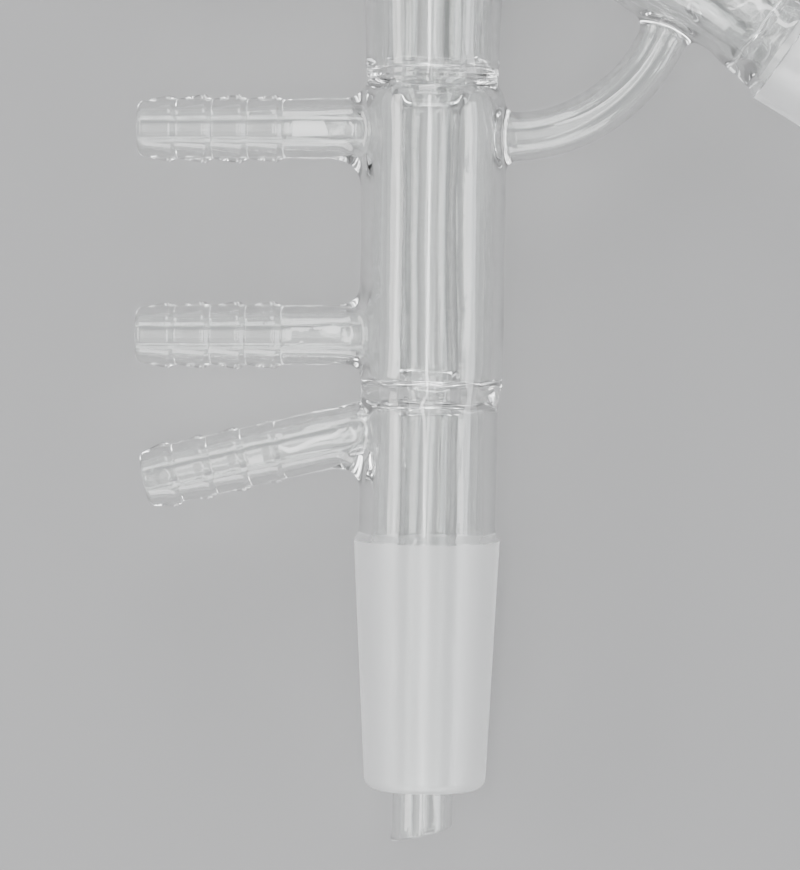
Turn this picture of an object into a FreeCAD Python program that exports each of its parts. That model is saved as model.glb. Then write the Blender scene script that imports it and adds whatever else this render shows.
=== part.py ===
import FreeCAD, Part
import math
import os

import Sketcher

# Short path distillation head, blown and fused from clear borosilicate glass
# as one piece. It lies on its side: X to the right, Y up the condenser, Z up
# from the surface it lies on. Every tube axis lies in the plane
# z = axis_height, so the two ground joints touch the surface at z = 0.
# All sizes are in millimetres.

doc = FreeCAD.newDocument("ShortPathHead")
sheet = doc.addObject("Spreadsheet::Sheet", "Sizes")

CELLS = [
    # where things are
    ("axis_height", 12.0, "height of all tube axes over the surface it lies on"),
    ("centre_shift_x", -25.205, "moves the box centre to X = 0"),
    ("centre_shift_y", -51.96, "moves the box centre to Y = 0"),
    ("drip_end_y", -49.9, "lowest point of the drip tip, below the large end of the receiver joint"),
    ("flask_x", 59.2, "centre of the flask joint's large end, from the condenser axis"),
    ("flask_y", 83.3, "centre of the flask joint's large end, from the receiver joint's large end"),
    ("column_turn", 55.95, "angle between condenser axis and column axis"),
    # ground joints, taper one in ten, 24 mm by 40 mm
    ("joint_large_radius", 12.0, "large end of both male joints"),
    ("joint_small_radius", 10.0, "small end of both male joints"),
    ("joint_length", 40.0, "ground length"),
    ("lip_length", 1.35, "clear lip below the small end"),
    ("lip_radius", 2.0, "rounding of the lip"),
    ("lip_inner_radius", 8.0, "flat of the lip starts here"),
    ("joint_bore_small", 7.9, "bore radius at the small end"),
    ("joint_bore_large", 9.4, "bore radius at the large end"),
    # condenser, heights from the drip tip's end
    ("lip_height", 8.55, "lower end of the receiver joint"),
    ("joint_top_height", 49.9, "large end of the receiver joint"),
    ("stub_radius", 11.2, "clear tube over the receiver joint"),
    ("stub_bore", 9.0, "its bore"),
    ("stub_start_height", 51.3, "clear tube has its full section from here"),
    ("lower_seal_bottom", 71.9, "under side of the lower ring seal"),
    ("lower_seal_top", 75.4, "upper side of the lower ring seal"),
    ("jacket_radius", 11.86, "water jacket"),
    ("jacket_bore", 9.9, "bore of the water jacket"),
    ("shoulder_start", 121.26, "shoulder of the jacket starts"),
    ("shoulder_arc", 6.0, "radius of the shoulder"),
    ("neck_radius", 10.55, "neck at the upper ring seal"),
    ("upper_seal_bottom", 125.0, "under side of the upper ring seal"),
    ("upper_seal_top", 127.7, "upper side of the upper ring seal"),
    ("vapour_jacket_radius", 11.1, "outer tube over the upper ring seal"),
    ("vapour_jacket_bore", 9.6, "its bore"),
    ("junction_height", 173.2, "condenser axis meets the column axis"),
    ("drip_tube_radius", 4.9, "inner condenser tube and drip tip"),
    ("drip_tube_bore", 3.8, "its bore"),
    ("funnel_bottom", 120.2, "bore of the inner tube starts to widen"),
    ("funnel_foot", 120.8, "outside of the inner tube starts to widen"),
    ("funnel_top", 125.6, "bore of the inner tube is at its wide section"),
    ("vapour_tube_radius", 7.4, "inner vapour tube"),
    ("vapour_tube_bore", 6.0, "its bore"),
    ("tip_cut_angle", 12.9, "slope of the tip's end"),
    # hose connections
    ("hose_crest_radius", 5.75, "crest of a rib"),
    ("hose_valley_radius", 4.95, "between the ribs"),
    ("hose_end_radius", 4.6, "rounded end"),
    ("hose_bore", 3.3, "bore"),
    ("hose_first_crest", 5.5, "end to first crest"),
    ("hose_pitch", 5.75, "crest to crest"),
    ("hose_step", 0.55, "length of a rib's step"),
    ("water_hose_reach", 48.25, "end of the water connections, from the condenser axis"),
    ("water_hose_tilt", 0.64, "their slope"),
    ("upper_hose_y", 67.5, "axis of the upper water connection at the jacket"),
    ("lower_hose_y", 33.6, "axis of the lower water connection at the jacket"),
    ("vacuum_hose_reach", 48.0, "length of the vacuum connection, from the condenser axis"),
    ("vacuum_hose_tilt", 13.3, "its slope"),
    ("vacuum_hose_y", 20.2, "where its axis meets the condenser axis"),
    ("vacuum_crest_radius", 5.4, "crest of its ribs"),
    ("vacuum_first_crest", 4.7, "its end to its first crest"),
    ("water_fillet", 2.5, "rounding where a water connection leaves the jacket"),
    ("vacuum_fillet", 2.4, "rounding where the vacuum connection leaves the stub"),
    ("water_bore_flare", 1.1, "the water bores open out this much at their roots"),
    ("vacuum_bore_flare", 0.7, "the same for the vacuum bore"),
    # brace
    ("brace_y", 66.3, "axis of the brace at the jacket"),
    ("brace_start", 10.6, "its start inside the jacket wall"),
    ("brace_run", 1.9, "straight run to the bend"),
    ("brace_bend", 27.5, "radius of the bend"),
    ("brace_turn", 67.0, "turn of the bend"),
    ("brace_last_run", 2.3, "straight run into the column wall"),
    ("brace_radius", 3.95, "outside"),
    ("brace_bore", 2.8, "inside"),
    ("brace_gap", 1.4, "its hollow starts this far up the run"),
    ("brace_fillet", 1.5, "rounding where it leaves the jacket"),
    ("brace_end_fillet", 1.0, "rounding where it meets the column"),
    # column, heights from the lower end of the flask joint
    ("waist_radius", 9.7, "waist over the flask joint"),
    ("waist_low", 51.2, "waist starts"),
    ("waist_high", 52.4, "waist ends"),
    ("column_radius", 12.0, "outer tube of the column"),
    ("column_bore", 10.4, "bore of the outer tube"),
    ("column_full_height", 65.8, "outer tube has its full section from here"),
    ("dome_start", 121.7, "outer tube starts to close"),
    ("dome_arc", 7.0, "rounding of the closed end"),
    ("dome_end", 128.7, "outer tube closed on the socket"),
    ("column_seal_height", 45.4, "seal of inner and outer tube over the flask joint"),
    ("inner_flare_height", 48.6, "inner tube at its normal section"),
    ("inner_narrow_height", 119.1, "inner tube narrows to the socket"),
    ("socket_radius", 6.75, "thermometer socket, outside"),
    ("socket_bore_small", 4.1, "its bore at the small end"),
    ("socket_bore_large", 5.0, "its bore at the mouth, 10 mm across"),
    ("socket_length", 18.0, "ground length of the socket"),
    ("socket_end_height", 156.3, "mouth of the socket"),
    ("bead_radius", 7.9, "bead at the mouth"),
    ("bead_length", 2.6, "length of the bead"),
    # indents of the column
    ("indent_first_height", 61.0, "first row of indents"),
    ("indent_pitch", 10.2, "row to row"),
    ("indent_depth", 5.6, "how far an indent goes in from the inner tube's outside"),
    ("indent_root_radius", 2.9, "indent at the tube's outside"),
    ("indent_tip_radius", 0.9, "indent at its tip"),
    ("indent_wall", 1.1, "glass round an indent"),
]
VALUE = {}
for row, (alias, value, note) in enumerate(CELLS, start=1):
    sheet.set("A%d" % row, alias.replace("_", " "))
    sheet.set("B%d" % row, repr(value))
    sheet.setAlias("B%d" % row, alias)
    sheet.set("C%d" % row, note)
    VALUE[alias] = value
doc.recompute()


# A length is a cell's name, a number, or a sum of both written as a tuple,
# where a leading minus takes a cell away.
def number(length):
    terms = length if isinstance(length, tuple) else (length,)
    total = 0.0
    for term in terms:
        if isinstance(term, str):
            total += -VALUE[term[1:]] if term.startswith("-") else VALUE[term]
        else:
            total += term
    return total


def formula(length):
    terms = length if isinstance(length, tuple) else (length,)
    text = ""
    for term in terms:
        if isinstance(term, str):
            sign, name = ("-", term[1:]) if term.startswith("-") else ("+", term)
            text += " %s Sizes.%s" % (sign, name)
        else:
            text += " %s %.4f" % ("-" if term < 0 else "+", abs(term))
    return text.strip().lstrip("+").strip()


def plane(body, role):
    for feature in body.Origin.OriginFeatures:
        if feature.Role == role:
            return feature


def sketch_on(body, name, role="XY_Plane"):
    sketch = body.newObject("Sketcher::SketchObject", name)
    sketch.AttachmentSupport = [(plane(body, role), "")]
    sketch.MapMode = "FlatFace"
    return sketch


def bind(sketch, constraint, length):
    index = sketch.addConstraint(constraint)
    sketch.setExpression("Constraints[%d]" % index, formula(length))


def place_point(sketch, edge, end, x, y):
    if number(x) == 0.0:
        sketch.addConstraint(Sketcher.Constraint("PointOnObject", edge, end, -2))
    else:
        bind(sketch, Sketcher.Constraint("DistanceX", -1, 1, edge, end, number(x)), x)
    if number(y) == 0.0:
        sketch.addConstraint(Sketcher.Constraint("PointOnObject", edge, end, -1))
    else:
        bind(sketch, Sketcher.Constraint("DistanceY", -1, 1, edge, end, number(y)), y)


def closed_profile(sketch, points):
    """Closed outline of lines and arcs. Each point is (radius, height) or
    (radius, height, arc), where arc rounds the edge to the next point: a
    positive one bulges to the right of the direction of travel."""
    count = len(points)
    for i, point in enumerate(points):
        after = points[(i + 1) % count]
        a = FreeCAD.Vector(number(point[0]), number(point[1]), 0)
        b = FreeCAD.Vector(number(after[0]), number(after[1]), 0)
        if len(point) == 3:
            arc, side = point[2]
            radius = number(arc)
            chord = b.sub(a)
            half = chord.Length / 2
            normal = FreeCAD.Vector(chord.y, -chord.x, 0).normalize()
            depth = math.sqrt(max(radius * radius - half * half, 1e-12))
            middle = a.add(b).multiply(0.5)
            centre = middle.sub(normal.multiply(side * depth))
            out = middle.sub(centre).normalize().multiply(radius).add(centre)
            edge = sketch.addGeometry(Part.Arc(a, out, b), False)
            start = sketch.Geometry[edge].StartPoint
            first = 1 if start.sub(a).Length < 1e-6 else 2
            point_ends.append((edge, first, 3 - first))
            bind(sketch, Sketcher.Constraint("Radius", edge, radius), arc)
        else:
            edge = sketch.addGeometry(Part.LineSegment(a, b), False)
            point_ends.append((edge, 1, 2))
    for i in range(count):
        edge, first, last = point_ends[i]
        following = point_ends[(i + 1) % count]
        sketch.addConstraint(Sketcher.Constraint("Coincident", edge, last, following[0], following[1]))
    for i, point in enumerate(points):
        edge, first, last = point_ends[i]
        place_point(sketch, edge, first, point[0], point[1])
    point_ends.clear()


point_ends = []


def set_place(body, x, y, turn=None, height="axis_height"):
    """Puts a body's own Y axis along a tube axis in the plane of the axes."""
    angle = number(turn) if turn is not None else 0.0
    body.Placement = FreeCAD.Placement(
        FreeCAD.Vector(number(x), number(y), number(height)),
        FreeCAD.Rotation(FreeCAD.Vector(0, 0, 1), angle),
    )
    if number(x) != 0.0:
        body.setExpression("Placement.Base.x", formula(x))
    body.setExpression("Placement.Base.y", formula(y))
    body.setExpression("Placement.Base.z", formula(height))
    if turn is not None:
        body.setExpression("Placement.Rotation.Angle", formula(turn))


def turned(name, points, x, y, turn=None):
    """A body turned about its own Y axis from a closed outline."""
    body = doc.addObject("PartDesign::Body", name)
    sketch = sketch_on(body, name + "_outline")
    closed_profile(sketch, points)
    doc.recompute()
    feature = body.newObject("PartDesign::Revolution", name + "_turn")
    feature.Profile = sketch
    feature.ReferenceAxis = (sketch, ["V_Axis"])
    feature.Angle = 360.0
    sketch.Visibility = False
    body.Tip = feature
    set_place(body, x, y, turn)
    doc.recompute()
    return body


# ---------------------------------------------------------------- outside
condenser = turned(
    "condenser_outside",
    [
        (0, "lip_height"),
        ("lip_inner_radius", "lip_height", ("lip_radius", 1)),
        (("joint_small_radius", 0.02), ("lip_height", "lip_radius")),
        ("joint_large_radius", "joint_top_height"),
        (("joint_large_radius", -0.2), ("joint_top_height", 0.5)),
        ("stub_radius", "stub_start_height"),
        ("stub_radius", ("lower_seal_top", -0.5)),
        ("jacket_radius", ("lower_seal_top", 0.7)),
        ("jacket_radius", "shoulder_start", ("shoulder_arc", 1)),
        ("neck_radius", "upper_seal_bottom"),
        (("neck_radius", 0.45), ("upper_seal_bottom", 1.2)),
        ("vapour_jacket_radius", "upper_seal_top"),
        ("vapour_jacket_radius", "junction_height"),
        (0, "junction_height"),
    ],
    0,
    "drip_end_y",
)
tip = turned(
    "drip_tip_outside",
    [
        (0, 0),
        ("drip_tube_radius", 0),
        ("drip_tube_radius", ("lip_height", 6.0)),
        (0, ("lip_height", 6.0)),
    ],
    0,
    "drip_end_y",
)
# the column is drawn from the lower end of the flask joint up its axis
foot_x = VALUE["flask_x"] + (VALUE["joint_length"] + VALUE["lip_length"]) * math.sin(
    math.radians(VALUE["column_turn"])
)
foot_y = VALUE["flask_y"] - (VALUE["joint_length"] + VALUE["lip_length"]) * math.cos(
    math.radians(VALUE["column_turn"])
)


def set_column_place(body):
    body.Placement = FreeCAD.Placement(
        FreeCAD.Vector(foot_x, foot_y, VALUE["axis_height"]),
        FreeCAD.Rotation(FreeCAD.Vector(0, 0, 1), VALUE["column_turn"]),
    )
    run = "(Sizes.joint_length + Sizes.lip_length)"
    body.setExpression("Placement.Base.x", "Sizes.flask_x + %s * sin(Sizes.column_turn)" % run)
    body.setExpression("Placement.Base.y", "Sizes.flask_y - %s * cos(Sizes.column_turn)" % run)
    body.setExpression("Placement.Base.z", "Sizes.axis_height")
    body.setExpression("Placement.Rotation.Angle", "Sizes.column_turn")


def turned_on_column(name, points):
    body = turned(name, points, "flask_x", "flask_y")
    set_column_place(body)
    doc.recompute()
    return body


joint_top = ("joint_length", "lip_length")
column = turned_on_column(
    "column_outside",
    [
        (0, 0),
        ("lip_inner_radius", 0, ("lip_radius", 1)),
        (("joint_small_radius", 0.02), "lip_radius"),
        ("joint_large_radius", joint_top),
        (("joint_large_radius", -0.9), ("joint_length", "lip_length", 1.45)),
        (("waist_radius", 1.0), ("waist_low", -5.6)),
        (("waist_radius", 0.43), ("waist_low", -2.5)),
        ("waist_radius", "waist_low"),
        ("waist_radius", "waist_high"),
        ("column_radius", "column_full_height"),
        ("column_radius", "dome_start", ("dome_arc", 1)),
        (("socket_radius", 0.5), ("dome_end", -1.2)),
        ("socket_radius", ("dome_end", 0.8)),
        ("socket_radius", ("socket_end_height", "-bead_length")),
        ("bead_radius", ("socket_end_height", "-bead_length", 0.9)),
        ("bead_radius", ("socket_end_height", -0.7)),
        (("bead_radius", -0.7), "socket_end_height"),
        (0, "socket_end_height"),
    ],
)


def hose_outline(crest, first_crest):
    """Saw-tooth ribs: each rises away from the end and steps down."""
    points = [(0, 0), (("hose_end_radius", -0.5), 0), ("hose_end_radius", 0.6)]
    for i in range(4):
        at = (first_crest,) + ("hose_pitch",) * i
        points.append((crest, at))
        points.append(("hose_valley_radius", at + ("hose_step",)))
    return points


def hose(name, reach, crest, first_crest, y, tilt):
    """A connection that points left, its end away from the condenser axis."""
    inside = (reach, -9.6)
    points = hose_outline(crest, first_crest) + [("hose_valley_radius", inside), (0, inside)]
    body = turned(name, points, 0, y)
    set_hose_place(body, reach, y, tilt)
    return body


def set_hose_place(body, reach, y, tilt):
    angle = math.radians(VALUE[tilt])
    body.Placement = FreeCAD.Placement(
        FreeCAD.Vector(
            -VALUE[reach] * math.cos(angle),
            VALUE[y] - VALUE[reach] * math.sin(angle),
            VALUE["axis_height"],
        ),
        FreeCAD.Rotation(FreeCAD.Vector(0, 0, 1), -90.0 + VALUE[tilt]),
    )
    body.setExpression("Placement.Base.x", "-Sizes.%s * cos(Sizes.%s)" % (reach, tilt))
    body.setExpression("Placement.Base.y", "Sizes.%s - Sizes.%s * sin(Sizes.%s)" % (y, reach, tilt))
    body.setExpression("Placement.Base.z", "Sizes.axis_height")
    body.setExpression("Placement.Rotation.Angle", "-90 + Sizes.%s" % tilt)
    doc.recompute()


upper_hose = hose(
    "upper_water_connection_outside", "water_hose_reach", "hose_crest_radius", "hose_first_crest", "upper_hose_y", "water_hose_tilt"
)
lower_hose = hose(
    "lower_water_connection_outside", "water_hose_reach", "hose_crest_radius", "hose_first_crest", "lower_hose_y", "water_hose_tilt"
)
vacuum_hose = hose(
    "vacuum_connection_outside", "vacuum_hose_reach", "vacuum_crest_radius", "vacuum_first_crest", "vacuum_hose_y", "vacuum_hose_tilt"
)


def bent_rod(name, radius, start, first_run, last_run):
    """The brace's run: out of the jacket wall, one bend, into the column."""
    body = doc.addObject("PartDesign::Body", name)
    path = sketch_on(body, name + "_path")
    turn = VALUE["brace_turn"]
    bend = VALUE["brace_bend"]
    run, last = number(first_run), number(last_run)
    swing = math.radians(turn)
    p1 = FreeCAD.Vector(run, 0, 0)
    p2 = FreeCAD.Vector(run + bend * math.sin(swing), bend * (1 - math.cos(swing)), 0)
    p3 = p2.add(FreeCAD.Vector(last * math.cos(swing), last * math.sin(swing), 0))
    mid = FreeCAD.Vector(run + bend * math.sin(swing / 2), bend * (1 - math.cos(swing / 2)), 0)
    path.addGeometry(Part.LineSegment(FreeCAD.Vector(0, 0, 0), p1), False)
    path.addGeometry(Part.Arc(p1, mid, p2), False)
    path.addGeometry(Part.LineSegment(p2, p3), False)
    path.addConstraint(Sketcher.Constraint("Coincident", 0, 1, -1, 1))
    path.addConstraint(Sketcher.Constraint("Horizontal", 0))
    path.addConstraint(Sketcher.Constraint("Tangent", 0, 2, 1, 1))
    path.addConstraint(Sketcher.Constraint("Tangent", 1, 2, 2, 1))
    bind(path, Sketcher.Constraint("DistanceX", 0, 1, 0, 2, run), first_run)
    bind(path, Sketcher.Constraint("Radius", 1, bend), "brace_bend")
    bind(path, Sketcher.Constraint("Distance", 2, last), last_run)
    index = path.addConstraint(Sketcher.Constraint("Angle", -1, 1, 2, 1, swing))
    path.setExpression("Constraints[%d]" % index, "Sizes.brace_turn")
    section = sketch_on(body, name + "_section", "YZ_Plane")
    section.addGeometry(Part.Circle(FreeCAD.Vector(0, 0, 0), FreeCAD.Vector(0, 0, 1), VALUE[radius]), False)
    section.addConstraint(Sketcher.Constraint("Coincident", 0, 3, -1, 1))
    bind(section, Sketcher.Constraint("Radius", 0, VALUE[radius]), radius)
    doc.recompute()
    feature = body.newObject("PartDesign::AdditivePipe", name + "_run")
    feature.Profile = section
    feature.Spine = (path, ["Edge1", "Edge2", "Edge3"])
    feature.Transition = "Right corner"
    body.Tip = feature
    set_place(body, start, "brace_y")
    doc.recompute()
    return body


brace = bent_rod("brace_outside", "brace_radius", "brace_start", "brace_run", "brace_last_run")

# ----------------------------------------------------------------- hollows
water_space = turned(
    "water_space",
    [
        ("drip_tube_radius", ("lower_seal_top", 2.0)),
        (("drip_tube_radius", 1.0), ("lower_seal_top", 0.3)),
        (("jacket_bore", -1.0), ("lower_seal_top", -0.1)),
        ("jacket_bore", ("lower_seal_top", 1.2)),
        ("jacket_bore", ("shoulder_start", -0.2)),
        (("jacket_bore", -0.6), ("upper_seal_bottom", -2.3)),
        (("vapour_tube_radius", 0.9), ("upper_seal_bottom", -0.5)),
        (("vapour_tube_radius", 0.1), ("upper_seal_bottom", -1.0)),
        ("drip_tube_radius", "funnel_foot"),
    ],
    0,
    "drip_end_y",
)
receiver_space = turned(
    "receiver_space",
    [
        ("drip_tube_radius", ("lip_height", -3.0)),
        ("joint_bore_small", ("lip_height", -3.0)),
        ("joint_bore_small", "lip_height"),
        ("joint_bore_large", "joint_top_height"),
        ("stub_bore", ("stub_start_height", 0.8)),
        ("stub_bore", ("lower_seal_bottom", 0.2)),
        (("stub_bore", -0.9), ("lower_seal_bottom", 0.9)),
        (("drip_tube_radius", 1.0), ("lower_seal_bottom", 0.9)),
        ("drip_tube_radius", ("lower_seal_bottom", -1.2)),
    ],
    0,
    "drip_end_y",
)
vapour_way = turned(
    "vapour_way_condenser",
    [
        (0, -4.0),
        ("drip_tube_bore", -4.0),
        ("drip_tube_bore", "funnel_bottom"),
        ("vapour_tube_bore", "funnel_top"),
        ("vapour_tube_bore", "junction_height"),
        (0, "junction_height"),
    ],
    0,
    "drip_end_y",
)
vapour_way_column = turned_on_column(
    "vapour_way_column",
    [
        (0, -1.0),
        ("joint_bore_small", -1.0),
        ("joint_bore_small", 0.4),
        (("joint_bore_large", -0.2), ("joint_length", "lip_length")),
        (("joint_bore_large", -1.1), ("joint_length", "lip_length", 1.3)),
        (("vapour_tube_bore", 0.9), ("inner_flare_height", -3.5)),
        ("vapour_tube_bore", ("inner_flare_height", -0.3)),
        ("vapour_tube_bore", "inner_narrow_height"),
        ("socket_bore_small", ("dome_end", -0.6)),
        ("socket_bore_small", ("socket_end_height", "-socket_length")),
        ("socket_bore_large", "socket_end_height"),
        ("socket_bore_large", ("socket_end_height", 1.0)),
        (0, ("socket_end_height", 1.0)),
    ],
)
# the sealed space between the inner vapour tube and the outer tube
jacket_room = turned(
    "vapour_jacket_room",
    [
        (0, ("upper_seal_top", -0.4)),
        (("vapour_jacket_bore", -0.8), ("upper_seal_top", -0.4)),
        ("vapour_jacket_bore", ("upper_seal_top", 1.0)),
        ("vapour_jacket_bore", "junction_height"),
        (0, "junction_height"),
    ],
    0,
    "drip_end_y",
)
jacket_room_column = turned_on_column(
    "column_jacket_room",
    [
        (0, "column_seal_height"),
        (("waist_radius", -0.9), "column_seal_height"),
        (("waist_radius", -1.5), "waist_low"),
        (("waist_radius", -1.5), "waist_high"),
        ("column_bore", "column_full_height"),
        ("column_bore", ("dome_start", 0.3)),
        (("column_bore", -1.6), ("dome_end", -4.0)),
        (("vapour_tube_radius", -0.7), ("dome_end", -2.4)),
        (0, ("dome_end", -2.4)),
    ],
)
inner_tube = turned(
    "vapour_tube_condenser",
    [
        (0, ("upper_seal_top", -1.0)),
        (("vapour_tube_radius", 0.9), ("upper_seal_top", -1.0)),
        (("vapour_tube_radius", 0.6), ("upper_seal_top", 0.4)),
        ("vapour_tube_radius", ("upper_seal_top", 1.6)),
        ("vapour_tube_radius", "junction_height"),
        (0, "junction_height"),
    ],
    0,
    "drip_end_y",
)
inner_tube_column = turned_on_column(
    "vapour_tube_column",
    [
        (0, ("column_seal_height", -0.5)),
        (("waist_radius", -0.9), ("column_seal_height", -0.5)),
        (("vapour_tube_radius", 0.5), ("inner_flare_height", -1.9)),
        ("vapour_tube_radius", "inner_flare_height"),
        ("vapour_tube_radius", "inner_narrow_height"),
        (("socket_bore_small", 1.45), ("dome_end", -1.9)),
        (0, ("dome_end", -1.9)),
    ],
)
brace_hollow = bent_rod(
    "brace_hollow", "brace_bore", ("brace_start", "brace_gap"), ("brace_run", "-brace_gap"), ("brace_last_run", -1.2)
)


def hose_bore(name, reach, flare, y, tilt):
    """The hole of a connection, opening out where it meets the wall."""
    body = turned(
        name,
        [
            (0, -1.0),
            ("hose_bore", -1.0),
            ("hose_bore", (reach, -13.4)),
            (("hose_bore", flare), (reach, -10.6)),
            (("hose_bore", flare), (reach, -7.6)),
            (0, (reach, -7.6)),
        ],
        0,
        y,
    )
    set_hose_place(body, reach, y, tilt)
    return body


bores = [
    hose_bore("upper_water_bore", "water_hose_reach", "water_bore_flare", "upper_hose_y", "water_hose_tilt"),
    hose_bore("lower_water_bore", "water_hose_reach", "water_bore_flare", "lower_hose_y", "water_hose_tilt"),
    hose_bore("vacuum_bore", "vacuum_hose_reach", "vacuum_bore_flare", "vacuum_hose_y", "vacuum_hose_tilt"),
]

# the drip tip's end is cut at a slope, its long side to the left
tip_cut = doc.addObject("Part::Box", "tip_cut")
tip_cut.Length, tip_cut.Width, tip_cut.Height = 30.0, 10.0, 24.0
tip_cut.Placement = FreeCAD.Placement(
    FreeCAD.Vector(-VALUE["drip_tube_radius"], VALUE["drip_end_y"], 0),
    FreeCAD.Rotation(FreeCAD.Vector(0, 0, 1), VALUE["tip_cut_angle"]),
    FreeCAD.Vector(0, 0, 0),
)
tip_cut.setExpression(
    "Placement.Base.x", "-Sizes.drip_tube_radius - 5 * cos(Sizes.tip_cut_angle) + 10 * sin(Sizes.tip_cut_angle)"
)
tip_cut.setExpression(
    "Placement.Base.y", "Sizes.drip_end_y - 5 * sin(Sizes.tip_cut_angle) - 10 * cos(Sizes.tip_cut_angle)"
)
tip_cut.setExpression("Placement.Rotation.Angle", "Sizes.tip_cut_angle")

# ---------------------------------------------------- indents of the column
turn = math.radians(VALUE["column_turn"])
axis = FreeCAD.Vector(-math.sin(turn), math.cos(turn), 0)
side = FreeCAD.Vector(-math.cos(turn), -math.sin(turn), 0)
foot = FreeCAD.Vector(foot_x, foot_y, VALUE["axis_height"])


def indent(name, height, around, grow):
    """A dimple pressed into the inner tube, pointing at its axis. With no
    growth it is the hollow outside, grown by the wall it is the glass round it."""
    out = side * math.cos(around) + FreeCAD.Vector(0, 0, 1) * math.sin(around)
    cone = doc.addObject("Part::Cone", name)
    wall = " + Sizes.indent_wall" if grow else ""
    cone.setExpression("Radius1", "Sizes.indent_tip_radius" + wall)
    cone.setExpression("Radius2", "Sizes.indent_root_radius + 1.1 * 2 / 5.6" + wall)
    cone.setExpression("Height", "Sizes.indent_depth + 1.1" + wall)
    depth = VALUE["indent_depth"] + (VALUE["indent_wall"] if grow else 0.0)
    base = foot + axis * height + out * (VALUE["vapour_tube_radius"] - depth)
    cone.Placement = FreeCAD.Placement(base, FreeCAD.Rotation(FreeCAD.Vector(0, 0, 1), out))
    return cone


dimples, dimple_glass = [], []
for row in range(4):
    for k in range(3):
        around = 2 * math.pi * k / 3 + (math.pi / 3 if row % 2 else 0.0)
        height = VALUE["indent_first_height"] + row * VALUE["indent_pitch"]
        label = "indent_%d_%d" % (row + 1, k + 1)
        dimples.append(indent(label + "_hollow", height, around, False))
        dimple_glass.append(indent(label + "_glass", height, around, True))
doc.recompute()


def joined(name, parts):
    fuse = doc.addObject("Part::MultiFuse", name)
    fuse.Shapes = parts
    return fuse


def less(name, base, tool):
    cut = doc.addObject("Part::Cut", name)
    cut.Base = base
    cut.Tool = tool
    return cut


# ------------------------------------------------------------ one glass body
outside = joined("outside", [condenser, tip, column, upper_hose, lower_hose, vacuum_hose, brace])
doc.recompute()


def root_edges(shape, origin, direction, radius, limit):
    """Edges where a round tube of this radius leaves another surface."""
    found = []
    for index, edge in enumerate(shape.Edges, start=1):
        rings, along = [], []
        first, last = edge.ParameterRange
        for step in range(9):
            point = edge.valueAt(first + (last - first) * step / 8.0)
            offset = point.sub(origin)
            run = offset.dot(direction)
            rings.append(offset.sub(direction * run).Length)
            along.append(run)
        if max(abs(ring - radius) for ring in rings) < 0.02 and max(along) - min(along) > 0.2:
            if limit[0] < min(along) and max(along) < limit[1]:
                straight = max(along) - min(along) > 0.98 * edge.Length
                if not straight:
                    found.append(index)
    return found


def hose_line(y, tilt):
    angle = math.radians(VALUE[tilt])
    origin = FreeCAD.Vector(0, VALUE[y], VALUE["axis_height"])
    return origin, FreeCAD.Vector(-math.cos(angle), -math.sin(angle), 0)


fillets = []
for y, tilt, fillet in (
    ("upper_hose_y", "water_hose_tilt", "water_fillet"),
    ("lower_hose_y", "water_hose_tilt", "water_fillet"),
    ("vacuum_hose_y", "vacuum_hose_tilt", "vacuum_fillet"),
):
    origin, direction = hose_line(y, tilt)
    for index in root_edges(outside.Shape, origin, direction, VALUE["hose_valley_radius"], (4.0, 14.0)):
        fillets.append((index, VALUE[fillet], VALUE[fillet]))
origin = FreeCAD.Vector(0, VALUE["brace_y"], VALUE["axis_height"])
for index in root_edges(outside.Shape, origin, FreeCAD.Vector(1, 0, 0), VALUE["brace_radius"], (9.0, 12.5)):
    fillets.append((index, VALUE["brace_fillet"], VALUE["brace_fillet"]))
swing = math.radians(VALUE["brace_turn"])
bend_x = VALUE["brace_start"] + VALUE["brace_run"] + VALUE["brace_bend"] * math.sin(swing)
bend_y = VALUE["brace_y"] + VALUE["brace_bend"] * (1 - math.cos(swing))
origin = FreeCAD.Vector(bend_x, bend_y, VALUE["axis_height"])
for index in root_edges(
    outside.Shape, origin, FreeCAD.Vector(math.cos(swing), math.sin(swing), 0), VALUE["brace_radius"], (-3.0, 4.0)
):
    fillets.append((index, VALUE["brace_end_fillet"], VALUE["brace_end_fillet"]))
print("root edges to round:", fillets)

rounded = doc.addObject("Part::Fillet", "outside_rounded")
rounded.Base = outside
rounded.Edges = fillets
doc.recompute()
if "Invalid" in rounded.State or "Error" in rounded.State or rounded.Shape.isNull():
    raise RuntimeError("the roots could not be rounded")

room = less(
    "jacket_space",
    joined("jacket_rooms", [jacket_room, jacket_room_column]),
    joined("vapour_tubes", [inner_tube, inner_tube_column]),
)
room_with_dimples = joined("jacket_space_with_indents", [room] + dimples)
way = less(
    "vapour_way",
    joined("vapour_ways", [vapour_way, vapour_way_column]),
    joined("indent_glass", dimple_glass),
)
doc.recompute()
hollows = joined(
    "hollows",
    [water_space, receiver_space, brace_hollow, tip_cut] + bores,
)
doc.recompute()
stage_one = less("glass_less_hoses", rounded, hollows)
doc.recompute()
stage_two = less("glass_less_way", stage_one, way)
doc.recompute()
head = less("distillation_head", stage_two, room_with_dimples)
head.Label = "distillation_head"
head.Placement = FreeCAD.Placement(
    FreeCAD.Vector(VALUE["centre_shift_x"], VALUE["centre_shift_y"], 0), FreeCAD.Rotation()
)
head.setExpression("Placement.Base.x", "Sizes.centre_shift_x")
head.setExpression("Placement.Base.y", "Sizes.centre_shift_y")
doc.recompute()

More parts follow.
